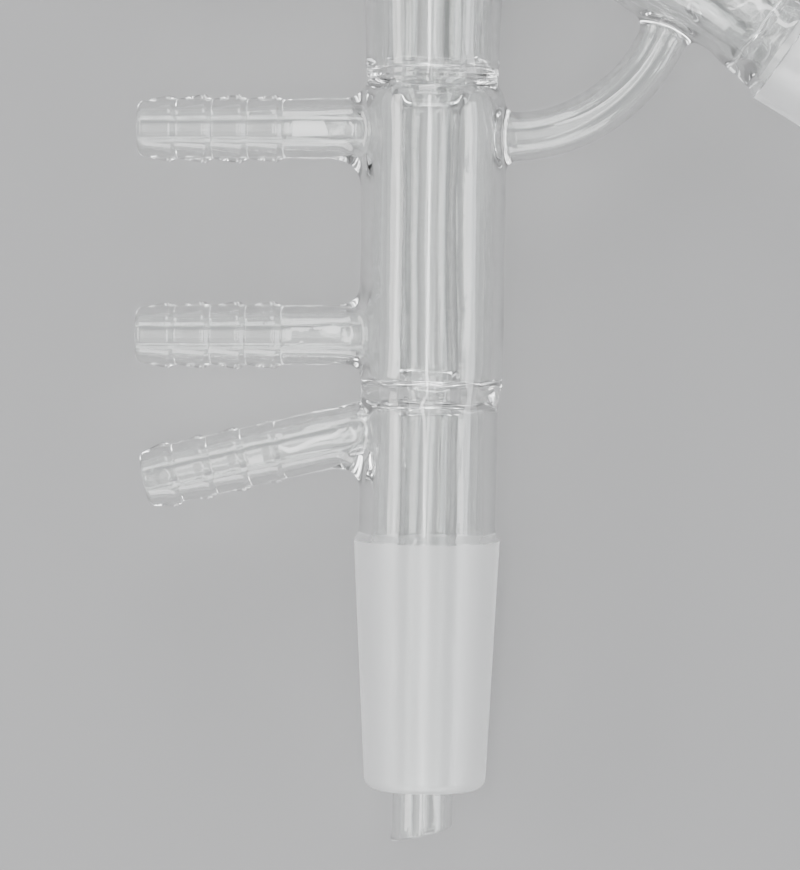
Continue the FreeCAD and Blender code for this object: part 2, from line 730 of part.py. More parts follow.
# -------------------------------------------------------------------- output
failed = [o.Label for o in doc.Objects if "Invalid" in o.State or "Error" in o.State]
if failed:
    raise RuntimeError("objects failed: %s" % failed)
os.makedirs("parts", exist_ok=True)
for part in (head,):
    shape = part.Shape
    if shape.isNull() or not shape.isValid():
        raise RuntimeError("bad shape: %s" % part.Label)
    box = shape.BoundBox
    print(
        part.Label, "solids", len(shape.Solids), "faces", len(shape.Faces), "volume", round(shape.Volume, 1),
        "box", [round(c, 2) for c in (box.XMin, box.XMax, box.YMin, box.YMax, box.ZMin, box.ZMax)],
    )
    shape.exportStep("parts/%s.step" % part.Label)
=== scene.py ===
import math

import bmesh
import bpy
import numpy as np
from mathutils import Matrix, Vector


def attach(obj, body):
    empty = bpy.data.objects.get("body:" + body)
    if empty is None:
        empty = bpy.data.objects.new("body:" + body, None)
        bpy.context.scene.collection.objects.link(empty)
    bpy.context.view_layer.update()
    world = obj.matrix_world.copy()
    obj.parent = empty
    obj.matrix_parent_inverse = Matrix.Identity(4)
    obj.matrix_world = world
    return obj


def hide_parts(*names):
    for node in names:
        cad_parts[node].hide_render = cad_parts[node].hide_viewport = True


# A short path distillation head, blown and fused from clear borosilicate
# glass. It is one glass body: an outside with all its open bores, a sealed
# jacket space and the hollow of the brace. Lengths below are millimetres in
# the row frame, and are turned into metres where the mesh is made.

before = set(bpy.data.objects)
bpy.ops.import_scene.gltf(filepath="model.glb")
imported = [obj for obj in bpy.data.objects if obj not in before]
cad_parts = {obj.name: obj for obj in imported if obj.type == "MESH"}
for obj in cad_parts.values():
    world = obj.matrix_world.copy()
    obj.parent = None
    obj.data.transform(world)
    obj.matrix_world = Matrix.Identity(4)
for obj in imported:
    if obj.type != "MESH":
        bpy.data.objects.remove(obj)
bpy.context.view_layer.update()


# ------------------------------------------------------------------ geometry
def unit(v):
    v = np.asarray(v, float)
    return v / np.linalg.norm(v)


class Axis:
    """A straight tube axis: a point on it, its direction, and the two
    directions from which angles round it are counted."""

    def __init__(self, origin, along, first, second=None):
        self.o = np.asarray(origin, float)
        self.a = unit(along)
        first = np.asarray(first, float)
        self.e1 = unit(first - self.a * first.dot(self.a))
        self.e2 = np.cross(self.a, self.e1) if second is None else unit(second)

    def place(self, r, along, angle):
        r, along, angle = np.broadcast_arrays(r, along, angle)
        return (
            self.o
            + along[..., None] * self.a
            + (r * np.cos(angle))[..., None] * self.e1
            + (r * np.sin(angle))[..., None] * self.e2
        )

    def read(self, p):
        """Distance from the axis, height along it, angle round it."""
        d = p - self.o
        x, y = d @ self.e1, d @ self.e2
        return np.hypot(x, y), d @ self.a, np.arctan2(y, x)


class BentAxis:
    """A tube axis that runs straight, bends once in its plane, and runs on."""

    def __init__(self, points, e2):
        self.points = np.asarray(points, float)
        steps = np.linalg.norm(np.diff(self.points, axis=0), axis=1)
        self.run = np.concatenate([[0], np.cumsum(steps)])
        self.e2 = unit(e2)
        tangents = np.gradient(self.points, self.run, axis=0)
        self.tangents = tangents / np.linalg.norm(tangents, axis=1)[:, None]
        self.firsts = np.cross(self.e2, self.tangents)

    def reversed(self):
        other = BentAxis(self.points[::-1], self.e2)
        other.firsts = self.firsts[::-1]
        return other

    def at(self, values, along):
        return np.stack([np.interp(along, self.run, values[:, c]) for c in range(3)], -1)

    def place(self, r, along, angle):
        r, along, angle = np.broadcast_arrays(r, along, angle)
        first = self.at(self.firsts, along)
        return (
            self.at(self.points, along)
            + (r * np.cos(angle))[..., None] * first
            + (r * np.sin(angle))[..., None] * self.e2
        )

    def read(self, p):
        a, b = self.points[:-1], self.points[1:]
        ab = b - a
        d = p[:, None, :] - a[None]
        u = np.clip((d * ab).sum(-1) / (ab * ab).sum(-1), 0, 1)
        off = d - u[..., None] * ab
        dist = (off * off).sum(-1)
        j = dist.argmin(1)
        rows = np.arange(len(p))
        off, u = off[rows, j], u[rows, j]
        along = self.run[j] + u * (self.run[j + 1] - self.run[j])
        first = self.at(self.firsts, along)
        x, y = (off * first).sum(-1), off @ self.e2
        return np.sqrt(dist[rows, j]), along, np.arctan2(y, x)


def line(a, b, step):
    """Points from a up to, and without, b."""
    n = max(1, int(round(math.dist(a, b) / step)))
    return [(a[0] + (b[0] - a[0]) * i / n, a[1] + (b[1] - a[1]) * i / n) for i in range(n)]


def run(points, step, fine=14.0):
    """An outline through (radius, height[, rounding]) without its last point.
    Every corner with a rounding becomes an arc."""
    out = []
    last = points[0][:2]
    for i in range(1, len(points)):
        point = points[i]
        if len(point) == 3 and i < len(points) - 1:
            p = np.array(point[:2])
            before, after = np.array(points[i - 1][:2]) - p, np.array(points[i + 1][:2]) - p
            lb, la = np.linalg.norm(before), np.linalg.norm(after)
            before, after = before / lb, after / la
            half = math.acos(max(-1, min(1, before.dot(after)))) / 2
            reach = min(point[2] / math.tan(half), lb * 0.49, la * 0.49)
            radius = reach * math.tan(half)
            start, end = p + before * reach, p + after * reach
            out += line(last, tuple(start), step)
            sweep = math.pi - 2 * half
            n = max(2, int(math.ceil(math.degrees(sweep) / fine)))
            centre = p + unit(before + after) * (radius / math.sin(half))
            a0, a1 = start - centre, end - centre
            for k in range(n):
                t = k / n
                w0, w1 = math.sin((1 - t) * sweep) / math.sin(sweep), math.sin(t * sweep) / math.sin(sweep)
                out.append(tuple(centre + a0 * w0 + a1 * w1))
            last = tuple(end)
        else:
            out += line(last, tuple(point[:2]), step)
            last = tuple(point[:2])
    return out


def arc(centre, radius, start, end, count):
    """Points on an arc, with its end left out; angles count from outwards."""
    angles = np.radians(np.linspace(start, end, count + 1)[:-1])
    return [(centre[0] + radius * math.cos(a), centre[1] + radius * math.sin(a)) for a in angles]


class Outline:
    def __init__(self):
        self.points = []
        self.parts = {}

    def add(self, name, points):
        start = len(self.points)
        self.points += points
        self.parts[name] = (start, len(self.points))

    def row(self, name, height):
        a, b = self.parts[name]
        h = np.array([p[1] for p in self.points[a:b]])
        return a + int(np.abs(h - height).argmin())


class Shell:
    """One closed surface, gathered from rings, patches and caps."""

    def __init__(self):
        self.points, self.count, self.faces, self.kinds = [], 0, [], []

    def add(self, points):
        points = np.asarray(points, float).reshape(-1, 3)
        first = self.count
        self.points.append(points)
        self.count += len(points)
        return np.arange(first, self.count)

    def where(self, index):
        return np.concatenate(self.points)[index]

    def quads(self, a, b, c, d, kind=0):
        quads = np.stack([np.ravel(x) for x in (a, b, c, d)], 1)
        self.faces.append(quads)
        kinds = np.ravel(kind)
        self.kinds.append(np.broadcast_to(kinds, (len(quads),)) if kinds.size == 1 else kinds)

    def between(self, ring, other, kind=0):
        self.quads(ring, np.roll(ring, -1), np.roll(other, -1), other, kind)


class Turned:
    """Rings round an axis. Rows follow an outline, columns go round."""

    def __init__(self, shell, axis, outline, columns, closed=False, shape=None):
        self.shell, self.axis, self.closed = shell, axis, closed
        self.outline = outline
        table = np.array(outline.points, float)
        self.table = table
        angle = np.arange(columns) * 2 * math.pi / columns
        r = np.repeat(table[:, :1], columns, 1)
        h = np.repeat(table[:, 1:2], columns, 1)
        if shape is not None:
            r, h = shape(r, h, np.broadcast_to(angle, r.shape))
        points = axis.place(r, h, np.broadcast_to(angle, r.shape))
        self.index = shell.add(points).reshape(r.shape)
        rows = len(table) if closed else len(table) - 1
        self.kept = np.ones((rows, columns), bool)
        self.kind = np.zeros((rows, columns), int)
        self.columns = columns

    def cut(self, row, rows, half):
        """Opens rows x 2*half faces round angle 0 (or pi for a negative half),
        and returns the rim's vertices in order."""
        middle = 0 if half > 0 else self.columns // 2
        half = abs(half)
        cols = (middle + np.arange(-half, half + 1)) % self.columns
        for j in range(row, row + rows):
            assert self.kept[j % len(self.kept), cols[:-1]].all(), "two openings overlap"
            self.kept[j % len(self.kept), cols[:-1]] = False
        total = len(self.index)
        rim = [self.index[row % total, c] for c in cols[:-1]]
        rim += [self.index[j % total, cols[-1]] for j in range(row, row + rows)]
        rim += [self.index[(row + rows) % total, c] for c in cols[:0:-1]]
        rim += [self.index[j % total, cols[0]] for j in range(row + rows, row, -1)]
        return np.array(rim)

    def section(self, row, rows, spare=3):
        """Distance from the wall near an opening, under zero towards the axis."""
        a, b = row - spare, row + rows + spare
        if not self.closed:
            a, b = max(a, 0), min(b, len(self.table) - 1)
        wall = self.table[np.arange(a, b + 1) % len(self.table)]
        p, q = wall[:-1], wall[1:]
        pq = q - p
        length = (pq * pq).sum(-1)
        good = length > 1e-12
        p, q, pq, length = p[good], q[good], pq[good], length[good]
        middle = len(p) // 2
        probe = (p[middle] + q[middle]) / 2 - p[middle] - np.array([0.2, 0])
        turn = np.sign(pq[middle][0] * probe[1] - pq[middle][1] * probe[0])
        axis = self.axis
        # the end segments run on, so that points past them read well
        low, high = np.full(len(p), 0.0), np.full(len(p), 1.0)
        low[0], high[-1] = -50.0, 50.0

        def distance(points):
            rho, height, _ = axis.read(points)
            d = np.stack([rho, height], 1)[:, None, :] - p[None]
            u = np.clip((d * pq).sum(-1) / length, low, high)
            off = d - u[..., None] * pq
            dist = (off * off).sum(-1)
            j = dist.argmin(1)
            rows_ = np.arange(len(points))
            side = pq[j, 0] * d[rows_, j, 1] - pq[j, 1] * d[rows_, j, 0]
            return -turn * np.sign(side) * np.sqrt(dist[rows_, j])

        return distance

    def emit(self):
        i = self.index
        a = i if self.closed else i[:-1]
        b = np.roll(i, -1, 0) if self.closed else i[1:]
        keep = self.kept
        self.shell.quads(
            a[keep], np.roll(a, -1, 1)[keep], np.roll(b, -1, 1)[keep], b[keep], self.kind[keep]
        )


def weld(shell, main, row, rows, half, tube, radius, ring, ring_at, reach, side, wall_loops=4, tube_loops=5, smooth=12):
    """Opens a wall and runs it smoothly into a tube. reach is how far the
    fused root spreads at angle 0 and at pi round the tube, side the same at
    its flanks; ring is the tube's first free ring, ring_at its place."""
    rim = main.cut(row, rows, half)
    distance = main.section(row, rows)
    n = len(ring)
    assert len(rim) == n, (len(rim), n)
    places = shell.where(rim)
    _, _, angle = tube.read(places)
    turn = np.unwrap(angle)
    if turn[-1] < turn[0]:
        rim, places = rim[::-1], places[::-1]
        _, _, angle = tube.read(places)
    target = np.arange(n) * 2 * math.pi / n
    best, shift = None, 0
    for s in range(n):
        rolled = np.roll(angle, -s)
        miss = (rolled - target + math.pi) % (2 * math.pi) - math.pi
        score = np.abs(miss).sum()
        if best is None or score < best:
            best, shift = score, s
    rim, places = np.roll(rim, -shift), np.roll(places, -shift, 0)
    angle = target + ((np.roll(angle, -shift) - target + math.pi) % (2 * math.pi) - math.pi)
    room = tube.read(places)[0] - radius
    order = np.argsort(angle % (2 * math.pi))
    known, cap = (angle % (2 * math.pi))[order], np.maximum(room[order] * 0.96, 0.05)

    def blend(around):
        c = np.cos(around)
        k = side + (reach[0] - side) * np.maximum(c, 0) ** 2 + (reach[1] - side) * np.maximum(-c, 0) ** 2
        limit = np.interp(around % (2 * math.pi), known, cap, period=2 * math.pi)
        return np.minimum(k, limit)

    def surface(p):
        a = distance(p)
        rho, _, around = tube.read(p)
        b = rho - radius
        k = blend(around)
        h = np.maximum(k - np.abs(a - b), 0) / k
        return np.minimum(a, b) - h * h * k / 4

    def settle(p, times=6):
        e = 1e-3
        for _ in range(times):
            f = surface(p)
            g = np.stack([(surface(p + e * d) - surface(p - e * d)) / (2 * e) for d in np.eye(3)], 1)
            size = np.maximum((g * g).sum(1), 0.05)
            step = -(f / size)[:, None] * g
            far = np.linalg.norm(step, axis=1)
            step *= np.minimum(1, 1.5 / np.maximum(far, 1e-9))[:, None]
            p = p + step
        return p

    low, high = np.full(n, 0.0), np.full(n, float(ring_at))
    for _ in range(40):
        middle = (low + high) / 2
        inside = distance(tube.place(radius, middle, angle)) < 0
        low, high = np.where(inside, middle, low), np.where(inside, high, middle)
    meets = (low + high) / 2
    corner = tube.place(radius, meets, angle)
    loops = []
    for i in range(1, wall_loops + 1):
        u = i / (wall_loops + 1)
        w = 1 - (1 - u) ** 1.3
        loops.append(places + (corner - places) * w)
    loops.append(corner)
    for i in range(1, tube_loops + 1):
        u = i / (tube_loops + 1)
        w = u**1.25
        ease = u * u * (3 - 2 * u)
        loops.append(tube.place(radius, meets + (ring_at - meets) * w, angle + (target - angle) * ease))
    grid = np.array(loops)
    shape = grid.shape
    end = shell.where(ring)
    grid = settle(grid.reshape(-1, 3), 10).reshape(shape)
    for _ in range(smooth):
        before = np.concatenate([places[None], grid[:-1]])
        after = np.concatenate([grid[1:], end[None]])
        round_ = (np.roll(grid, 1, 1) + np.roll(grid, -1, 1)) / 2
        grid = grid + 0.5 * (((before + after) / 2 + round_) / 2 - grid)
        grid = settle(grid.reshape(-1, 3), 2).reshape(shape)
    grid = settle(grid.reshape(-1, 3), 5)
    index = shell.add(grid).reshape(shape[:2])
    rings = [rim] + list(index) + [np.asarray(ring)]
    for a, b in zip(rings[:-1], rings[1:]):
        shell.between(a, b)
    return index


# --------------------------------------------------------------------- axes
LIE = 12.0
UP = np.array([0.0, 0.0, 1.0])
CONDENSER = Axis((-25.205, -101.86, LIE), (0, 1, 0), (1, 0, 0))
TURN = math.radians(55.95)
UPHILL = np.array([-math.sin(TURN), math.cos(TURN), 0.0])
LOWER_SIDE = np.array([-math.cos(TURN), -math.sin(TURN), 0.0])
FOOT = np.array(
    [59.2 + 41.35 * math.sin(TURN) - 25.205, 83.3 - 41.35 * math.cos(TURN) - 51.96, LIE]
)
COLUMN = Axis(FOOT, UPHILL, LOWER_SIDE)
JUNCTION = 173.2
MEET = CONDENSER.place(0.0, JUNCTION, 0.0)
# the same axis read downwards from where it meets the column
BRANCH = Axis(MEET, (0, -1, 0), (1, 0, 0), CONDENSER.e2)


def hose_axis(height, tilt):
    tilt = math.radians(tilt)
    along = np.array([-math.cos(tilt), -math.sin(tilt), 0.0])
    return Axis(CONDENSER.place(0.0, height, 0.0), along, (0, 1, 0))


UPPER_HOSE = hose_axis(117.4, 0.64)
LOWER_HOSE = hose_axis(83.5, 0.64)
VACUUM_HOSE = hose_axis(70.1, 13.3)

BEND, SWING = 27.5, math.radians(67.0)
brace_line = [(x, 0.0) for x in np.linspace(0, 12.5, 14)[:-1]]
for t in np.linspace(0, SWING, 49):
    brace_line.append((12.5 + BEND * math.sin(t), BEND * (1 - math.cos(t))))
last_x, last_y = brace_line[-1]
for t in np.linspace(0, 16, 17)[1:]:
    brace_line.append((last_x + t * math.cos(SWING), last_y + t * math.sin(SWING)))
BRACE = BentAxis([(-25.205 + x, 66.3 - 51.96 + y, LIE) for x, y in brace_line], (0, 0, 1))
BRACE_LENGTH = BRACE.run[-1]
BRACE_BACK = BRACE.reversed()

# ------------------------------------------------------------------ outlines
CLEAR, GROUND = 0, 1

head = Shell()
outside = Outline()
# down the vapour way, round the drip tip, up its outside
outside.add("vapour_way", run([(5.6, 157.6), (5.75, 153.0, 20), (6.0, 148.0, 20), (6.0, 132.0)], 2.6))
outside.add("funnel", run([(6.0, 132.0), (6.0, 126.0, 3), (3.85, 119.6, 1.6), (3.8, 112.0)], 1.1, 9))
outside.add("drip_bore", run([(3.8, 112.0), (3.8, 9.0)], 4.6))
outside.add("drip_rim", run([(3.8, 9.0), (3.8, 3.0), (3.85, 0.0, 0.5), (4.95, 0.0, 0.5), (4.98, 4.0), (4.95, 12.0)], 1.3, 22))
outside.add("drip_tube", run([(4.95, 12.0), (4.9, 30.0, 60), (4.9, 68.0)], 3.8))
outside.add("web_under", run([(4.9, 68.0), (4.95, 70.9, 1.6), (5.9, 72.5, 1.3), (7.6, 72.7, 2.0), (8.95, 72.0, 1.1), (9.0, 70.2)], 0.9, 15))
outside.add("stub_bore", run([(9.0, 70.2), (9.0, 61.6)], 0.955))
outside.add("joint_bore", run([(9.0, 61.6), (9.0, 52.2, 6), (9.4, 49.9, 8), (8.0, 12.0, 20), (7.9, 10.4)], 3.2))
outside.add("lip_bore", run([(7.9, 10.4), (7.9, 8.95)], 0.8) + [(7.92, 8.75), (7.97, 8.61)])
outside.add("lip", arc((8.04, 10.55), 2.0, -90, 0, 8))
outside.add("cone", run([(10.04, 10.55), (12.0, 49.65)], 3.0))
outside.add("cone_top", run([(12.0, 49.65), (11.98, 49.9, 0.2), (11.35, 50.9, 1.0), (11.2, 52.0, 2.0), (11.2, 55.5)], 0.9, 16))
outside.add("stub", run([(11.2, 55.5), (11.22, 69.8)], 1.3))
outside.add("lower_seal", run([(11.22, 69.8), (11.23, 71.0, 1.0), (11.38, 72.2, 1.2), (11.4, 73.8, 1.2), (11.62, 75.1, 0.8), (11.7, 76.2, 1.0), (11.86, 77.0)], 0.85, 22))
outside.add("jacket_low", run([(11.86, 77.0), (11.86, 94.6)], 1.1))
outside.add("jacket", run([(11.86, 94.6), (11.86, 106.6)], 2.0))
outside.add("jacket_high", run([(11.86, 106.6), (11.86, 120.8)], 1.42))
outside.add("shoulder", [(11.86, 120.8), (11.83, 121.7), (11.7, 122.55), (11.42, 123.35), (11.05, 124.05), (10.76, 124.7)])
outside.add("upper_seal", run([(10.6, 125.3), (10.56, 125.65, 0.5), (10.9, 126.25, 0.5), (10.76, 126.95, 0.8), (11.02, 127.7, 0.6), (10.94, 128.6, 1.2), (10.95, 130.2)], 0.6, 22))
outside.add("vapour_jacket", run([(10.95, 130.2), (11.15, 135.0, 30), (11.4, 140.0, 30), (11.4, 145.2)], 1.5) + [(11.4, 145.2)])


def tip_shape(r, h, angle):
    """The tip's end is cut at a slope, its long side to the left, with a
    small bead of glass where it was fire polished."""
    fade = np.clip((9.0 - h) / 8.0, 0, 1)
    fade = fade * fade * (3 - 2 * fade)
    near = (h < 9.0) & (r < 6.0)
    x = r * np.cos(angle)
    lift = np.where(near, (x + 4.9) * math.tan(math.radians(12.9)) * fade, 0.0)
    around = np.cos(angle - math.pi)
    bead = np.where(near, 0.3 * np.exp(-((h - 0.4) / 1.2) ** 2) * np.maximum(around, 0) ** 4, 0.0)
    r = r + np.where(r > 4.4, bead, -0.6 * bead)
    return r, h + lift - 0.7 * bead


glass = Turned(head, CONDENSER, outside, 96, shape=tip_shape)
for name in ("lip", "cone"):
    a, b = outside.parts[name]
    glass.kind[a:b] = GROUND

water = Outline()
water.add("bottom", run([(4.8, 79.4), (4.85, 77.6, 1.3), (5.9, 75.6, 1.2), (8.6, 75.25, 1.6), (9.85, 76.3, 1.2), (9.9, 77.0)], 0.9, 15))
water.add("wall_low", run([(9.9, 77.0), (9.9, 91.4)], 1.2))
water.add("wall", run([(9.9, 91.4), (9.9, 109.5)], 3.0))
water.add("wall_high", run([(9.9, 109.5), (9.9, 121.2)], 1.3))
water.add("top", run([(9.9, 121.2), (9.6, 122.6, 1.5), (8.5, 124.35, 0.9), (7.45, 123.9, 1.0), (6.75, 123.0, 2), (4.95, 120.7, 1.4), (4.8, 113.6)], 0.8, 14))
water.add("inner", run([(4.8, 113.6), (4.68, 104.0, 100), (4.68, 92.0, 100), (4.8, 79.4)], 3.0))
water_space = Turned(head, CONDENSER, water, 96, closed=True)


def hose_outline(crests, valley, first, ring_at, reach, bore_ring_at):
    """From the free root ring out over four ribs, round the end, back in."""
    o = Outline()
    points = [(4.95, ring_at)]
    at = [reach - first - 5.75 * i for i in range(4)][::-1]
    for i, (c, crest) in enumerate(zip(at, crests[::-1])):
        points += [(valley, c - 0.95, 0.55), (crest - 0.06, c - 0.12, 0.42)]
        points += [(crest, c + 0.3, 0.6), (crest - 0.26, c + 1.7, 3.0)]
        if i < 3:
            points += [(valley + 0.06, c + 4.3, 3.0)]
    points += [(4.66, reach - 1.27)]
    o.add("ribs", run(points, 1.5, 27))
    o.add("end", arc((3.43, reach - 1.25), 1.25, 0, 90, 6) + [(3.38, reach), (3.32, reach - 0.06), (3.3, reach - 0.16)])
    o.add("bore", run([(3.3, reach - 0.4), (3.3, bore_ring_at)], 3.6) + [(3.3, bore_ring_at)])
    return o


hoses = []
for axis, crests, valley, first, reach, ring_at, bore_at in (
    (UPPER_HOSE, (5.45, 5.65, 5.65, 5.6), 4.88, 5.5, 48.25, 19.5, 15.2),
    (LOWER_HOSE, (5.4, 5.6, 5.65, 5.6), 4.88, 5.5, 48.25, 19.5, 15.2),
    (VACUUM_HOSE, (5.42, 5.36, 5.34, 5.22), 4.82, 4.7, 48.0, 20.5, 13.6),
):
    o = hose_outline(crests, valley, first, ring_at, reach, bore_at)
    hoses.append((Turned(head, axis, o, 72), ring_at, bore_at))

column = Outline()
column.add("bore", run([(4.1, 138.3), (4.1, 128.5, 6), (6.0, 120.0, 6), (6.0, 118.7)], 1.8, 10))
column.add("bore_meet", run([(6.0, 118.7), (6.0, 99.1)], 1.225))
column.add("bore_low", run([(6.0, 99.1), (6.0, 49.0)], 1.3))
column.add("flare", run([(6.0, 49.0), (6.0, 48.2, 3), (7.0, 45.2, 3), (8.5, 42.8, 2.5), (9.25, 41.0, 5), (9.1, 36.0)], 1.2, 12))
column.add("joint_bore", run([(9.1, 36.0), (7.95, 3.0), (7.9, 1.7)], 3.4))
column.add("lip_bore", run([(7.9, 1.7), (7.9, 0.4)], 0.8) + [(7.92, 0.2), (7.97, 0.06)])
column.add("lip", arc((8.04, 2.0), 2.0, -90, 0, 8))
column.add("cone", run([(10.04, 2.0), (12.0, 41.05)], 3.0))
column.add("waist", run([(12.0, 41.05), (11.98, 41.35, 0.2), (11.2, 42.55, 0.8), (10.7, 45.6, 20), (9.72, 51.6, 6), (9.95, 54.0, 9), (11.9, 63.6, 12), (12.0, 66.0, 14), (12.0, 68.0)], 1.12, 12))
column.add("tube", run([(12.0, 68.0), (12.0, 84.9)], 2.2))
column.add("tube_meet", run([(12.0, 84.9), (12.0, 122.1)], 2.3))
column.add("dome", run([(12.0, 122.1), (11.8, 125.5, 4.0), (7.4, 127.9, 2.0), (6.8, 130.7, 4.0), (6.75, 135.1)], 1.2, 12))
column.add("socket", run([(6.75, 135.1), (6.75, 153.3)], 2.4))
column.add("bead", run([(6.75, 153.3), (6.8, 153.9, 1.0), (7.9, 154.3, 0.9), (7.9, 156.3, 1.0), (5.0, 156.3, 0.45), (4.95, 154.9)], 0.6, 18))
column.add("socket_bore", run([(4.95, 154.9), (4.1, 138.3)], 1.6))


def dimples(centres, depth, width, strength_out):
    def shape(r, h, angle):
        near = np.zeros_like(r)
        for k, around in centres:
            turn = (angle - around + math.pi) % (2 * math.pi) - math.pi
            d = np.hypot(turn * strength_out, h - k)
            near = np.maximum(near, np.clip(1 - (d / width) ** 2, 0, 1) ** 1.6)
        return near * depth

    return shape


DIMPLES = []
for row_ in range(4):
    for k_ in range(3):
        # angles round the column from the side that faces the condenser
        DIMPLES.append((61.0 + 10.2 * row_, 2 * math.pi * k_ / 3 + (math.pi / 3 if row_ % 2 else 0.0)))
bore_dimple = dimples(DIMPLES, 5.05, 4.9, 6.4)
tube_dimple = dimples(DIMPLES, 5.45, 4.1, 7.2)


def column_shape(r, h, angle):
    wall = (np.abs(r - 6.0) < 1.1) & (h > 44.0) & (h < 101.0)
    return r - np.where(wall, bore_dimple(r, h, angle), 0.0), h


stem = Turned(head, COLUMN, column, 64, closed=True, shape=column_shape)
for name in ("lip", "cone", "socket_bore"):
    a, b = column.parts[name]
    stem.kind[a:b] = GROUND

# the two hose connections of the jacket and the one of the stub
row = outside.row("lower_seal", 76.2)
weld(head, glass, row, 16, -10, LOWER_HOSE, 4.95, hoses[1][0].index[0], hoses[1][1], (4.7, 3.1), 2.1)
row = outside.parts["upper_seal"][0] - 16
weld(head, glass, row, 16, -10, UPPER_HOSE, 4.95, hoses[0][0].index[0], hoses[0][1], (3.2, 5.6), 2.1)
row = outside.row("stub", 56.8)
weld(head, glass, row, 16, -10, VACUUM_HOSE, 4.95, hoses[2][0].index[0], hoses[2][1], (2.8, 6.0), 2.1)
weld(head, water_space, water.parts["wall_low"][0], 12, -12, LOWER_HOSE, 3.3, hoses[1][0].index[-1], hoses[1][2], (4.4, 2.8), 3.3, 4, 5)
weld(head, water_space, water.parts["wall_high"][0], 12, -12, UPPER_HOSE, 3.3, hoses[0][0].index[-1], hoses[0][2], (2.2, 4.4), 3.3, 4, 5)
weld(head, glass, outside.parts["stub_bore"][0] - 3, 12, -12, VACUUM_HOSE, 3.3, hoses[2][0].index[-1], hoses[2][2], (1.0, 2.6), 2.4, 4, 5)

# the brace, from the jacket to the column
brace = Outline()
brace.add("tube", line((3.95, 17.5), (3.95, 42.5), 1.5) + [(3.95, 42.5)])
tube = Turned(head, BRACE, brace, 56)
weld(head, glass, outside.row("jacket_high", 108.0), 12, 8, BRACE, 3.95, tube.index[0], 17.5, (1.9, 2.3), 1.5)
weld(head, stem, column.row("waist", 50.2), 16, 6, BRACE_BACK, 3.95, tube.index[-1], BRACE_LENGTH - 42.5, (2.4, 2.4), 1.7)

# condenser and column
weld(head, stem, column.row("tube_meet", 84.9), 16, 16, BRANCH, 11.4, glass.index[-1], JUNCTION - 145.2, (5.6, 7.5), 0.55, 5, 10)
weld(head, stem, column.row("bore_meet", 118.7), 16, 16, BRANCH, 5.6, glass.index[0], JUNCTION - 157.6, (2.4, 3.4), 0.35, 4, 7)

for part in [glass, water_space, stem, tube] + [h[0] for h in hoses]:
    part.emit()

# ------------------------------------------------ the sealed jacket's hollow
jacket = Shell()
sealed = Outline()
sealed.add("inner", run([(7.0, 155.2), (7.2, 150.0, 30), (7.4, 144.0, 30), (7.4, 132.4)], 2.2))
sealed.add("groove", run([(7.4, 132.4), (7.42, 128.9, 3.0), (7.75, 127.5, 0.6), (8.7, 127.35, 1.5), (9.45, 127.6, 0.6), (9.56, 129.2, 2.0), (9.55, 131.0)], 0.7, 14))
sealed.add("outer", run([(9.55, 131.0), (9.6, 138.0, 40), (9.6, 144.4)], 1.9) + [(9.6, 144.4)])
sleeve = Turned(jacket, CONDENSER, sealed, 96)

room = Outline()
room.add("inner", run([(7.4, 53.0), (7.4, 95.5)], 1.15))
room.add("inner_meet", run([(7.4, 95.5), (7.4, 119.1)], 1.475))
room.add("neck", run([(7.4, 119.1), (7.4, 120.3, 5), (5.7, 126.5, 1.2), (7.6, 126.3, 1.6), (10.1, 124.0, 2.6), (10.4, 121.3)], 1.3, 13))
room.add("outer_meet", run([(10.4, 121.3), (10.4, 89.3)], 2.0))
room.add("outer", run([(10.4, 89.3), (10.4, 66.0), (10.25, 63.4, 12), (8.3, 53.8, 6), (8.2, 51.6, 6), (8.75, 47.0, 1.0), (7.85, 46.2, 0.7), (7.42, 49.2, 4), (7.4, 53.0)], 1.15, 13))


def room_shape(r, h, angle):
    wall = (np.abs(r - 7.4) < 0.9) & (h > 46.6) & (h < 101.0)
    return r - np.where(wall, tube_dimple(r, h, angle), 0.0), h


hall = Turned(jacket, COLUMN, room, 64, closed=True, shape=room_shape)
weld(jacket, hall, room.row("outer_meet", 121.3), 16, 16, BRANCH, 9.6, sleeve.index[-1], JUNCTION - 144.4, (4.2, 5.8), 0.5, 5, 9)
weld(jacket, hall, room.row("inner_meet", 95.5), 16, 16, BRANCH, 7.0, sleeve.index[0], JUNCTION - 155.2, (2.8, 4.0), 0.35, 4, 8)
sleeve.emit()
hall.emit()

# ------------------------------------------------------- the brace's hollow
def over_jacket(points):
    return CONDENSER.read(points)[0] - 11.98


waist_line = np.array(column.points[column.parts["waist"][0] : column.parts["tube"][1]])


def over_column(points):
    rho, h, _ = COLUMN.read(points)
    return rho - np.interp(h, waist_line[:, 1], waist_line[:, 0]) - 0.1


def where_it_meets(gap, r, angle, inside, outside_):
    """How far along the brace a point r from its axis leaves a wall."""
    low, high = np.full(len(angle), float(inside)), np.full(len(angle), float(outside_))
    for _ in range(40):
        middle = (low + high) / 2
        within = gap(BRACE.place(r, middle, angle)) < 0
        low, high = np.where(within, middle, low), np.where(within, high, middle)
    return (low + high) / 2


